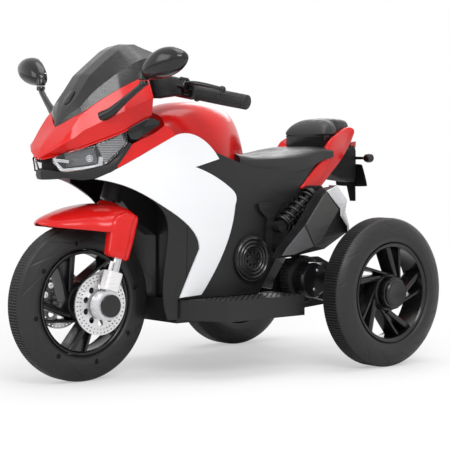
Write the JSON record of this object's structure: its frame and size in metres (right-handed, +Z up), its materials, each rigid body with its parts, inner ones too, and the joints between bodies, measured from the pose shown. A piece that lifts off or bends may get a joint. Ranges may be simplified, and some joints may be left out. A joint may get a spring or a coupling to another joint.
{
  "type": "kids electric three-wheeled motorbike",
  "caption": "Child-size electric ride-on motorbike with a steered front wheel in a fork, paired rear wheels, bodywork, windscreen, seat, footboards and turning mirrors.",
  "frame": {"origin": "on the ground, half way between front and rear axles, on the centre plane", "axes": "+X forward, +Y to the rider's left, +Z up"},
  "size_m": [0.88, 0.551, 0.638],
  "materials": {
    "tyre_black": "hollow moulded tread, matte",
    "wheel_black": "gloss moulded",
    "disc_steel": "satin",
    "axle_steel": "drawn bar",
    "fork_chrome": "bright",
    "fork_end_silver": "pale silver",
    "gloss_red": "gloss moulded",
    "gloss_white": "gloss moulded",
    "frame_black": "powder coated",
    "bush_nylon": "plain nylon",
    "grip_rubber": "ribbed",
    "control_black": "satin",
    "body_black": "satin moulded",
    "smoked_screen": "smoked, clear",
    "lens_clear": "clear",
    "lamp_white": "lit strip",
    "mirror_silver": "bright",
    "exhaust_grey": "dark grey satin",
    "exhaust_silver": "pale silver",
    "damper_black": "satin",
    "spring_black": "black coated wire",
    "drive_black": "moulded casing",
    "battery_grey": "sealed case",
    "tail_red": "tinted lens",
    "signal_amber": "tinted lens"
  },
  "bodies": {
    "chassis": {"rear_axle": "axle_steel", "cheek_panels": "gloss_red", "tank_cover": "gloss_red", "tail_cowl": "gloss_red", "nose_cowl": "gloss_red", "side_fairings": "gloss_white", "frame_spine": "frame_black", "steering_bushes": "bush_nylon", "dashboard": "control_black", "mirror_stems": "control_black", "inner_fairings": "body_black", "body_shell_left": "body_black", "body_shell_right": "body_black", "body_core": "body_black", "floor_tub": "body_black", "seat": "body_black", "backrest_lid": "body_black", "backrest_base": "body_black", "headlight_housing": "body_black", "footboards": "body_black", "side_trims": "body_black", "plate_bracket": "body_black", "charge_inlet": "body_black", "windscreen": "smoked_screen", "headlight_lenses": "lens_clear", "headlight_lamps": "lamp_white", "exhausts": "exhaust_grey", "exhaust_caps": "exhaust_silver", "shock_dampers": "damper_black", "shock_springs": "spring_black", "drive_units": "drive_black", "battery": "battery_grey", "tail_light": "tail_red", "turn_signals": "signal_amber"},
    "steering": {"front_fender": "gloss_red", "fork_tubes": "fork_chrome", "fork_ends": "fork_end_silver", "steering_stem": "frame_black", "handlebar": "frame_black", "grips": "grip_rubber", "lever_clamps": "control_black", "front_axle": "axle_steel"},
    "front_wheel": {"front_tyre": "tyre_black", "front_rim": "wheel_black", "brake_discs": "disc_steel"},
    "rear_wheel_left": {"rear_tyre_left": "tyre_black", "rear_rim_left": "wheel_black", "hub_cap_left": "wheel_black"},
    "rear_wheel_right": {"rear_tyre_right": "tyre_black", "rear_rim_right": "wheel_black", "hub_cap_right": "wheel_black"},
    "brake_lever_left": {"brake_lever_left": "control_black"},
    "brake_lever_right": {"brake_lever_right": "control_black"},
    "mirror_left": {"mirror_head_left": "body_black", "mirror_glass_left": "mirror_silver"},
    "mirror_right": {"mirror_head_right": "body_black", "mirror_glass_right": "mirror_silver"},
    "accelerator": {"accelerator_pedal": "control_black"},
    "power_button": {"power_button": "control_black"},
    "direction_switch": {"direction_switch": "control_black"}
  },
  "joints": [
    {"name": "steering", "type": "hinge", "parent": "chassis", "child": "steering", "pos_m": [0.28049, 0, 0.14691], "axis": [-0.309, 0, 0.9511], "range_deg": [-25, 25]},
    {"name": "front_wheel_spin", "type": "hinge", "parent": "steering", "child": "front_wheel", "pos_m": [0.29, 0, 0.15], "axis": [0, 1, 0], "continuous": true},
    {"name": "rear_wheel_left_spin", "type": "hinge", "parent": "chassis", "child": "rear_wheel_left", "pos_m": [-0.29, 0.2325, 0.15], "axis": [0, 1, 0], "continuous": true},
    {"name": "rear_wheel_right_spin", "type": "hinge", "parent": "chassis", "child": "rear_wheel_right", "pos_m": [-0.29, -0.2325, 0.15], "axis": [0, 1, 0], "continuous": true},
    {"name": "brake_lever_left_pull", "type": "hinge", "parent": "steering", "child": "brake_lever_left", "pos_m": [0.1192, 0.10322, 0.56147], "axis": [-0.551, -0.016, 0.8344], "range_deg": [0, 7], "stiffness_Nm_per_rad": 0.8},
    {"name": "brake_lever_right_pull", "type": "hinge", "parent": "steering", "child": "brake_lever_right", "pos_m": [0.1192, -0.10322, 0.56147], "axis": [0.551, -0.016, -0.8344], "range_deg": [0, 7], "stiffness_Nm_per_rad": 0.8},
    {"name": "mirror_left_swivel", "type": "hinge", "parent": "chassis", "child": "mirror_left", "pos_m": [0.263, 0.168, 0.561], "axis": [0, 0, 1], "range_deg": [-20, 20]},
    {"name": "mirror_right_swivel", "type": "hinge", "parent": "chassis", "child": "mirror_right", "pos_m": [0.263, -0.168, 0.561], "axis": [0, 0, 1], "range_deg": [-20, 20]},
    {"name": "accelerator_press", "type": "hinge", "parent": "chassis", "child": "accelerator", "pos_m": [0, -0.145, 0.158], "axis": [0, 1, 0], "range_deg": [0, 10], "stiffness_Nm_per_rad": 2},
    {"name": "power_button_press", "type": "slide", "parent": "chassis", "child": "power_button", "axis": [0.3779, 0, -0.9258], "range_m": [0, 0.0025], "stiffness_N_per_m": 400},
    {"name": "direction_switch_rock", "type": "hinge", "parent": "chassis", "child": "direction_switch", "pos_m": [0.22438, -0.03, 0.53095], "axis": [0, 1, 0], "range_deg": [-12, 12]}
  ]
}
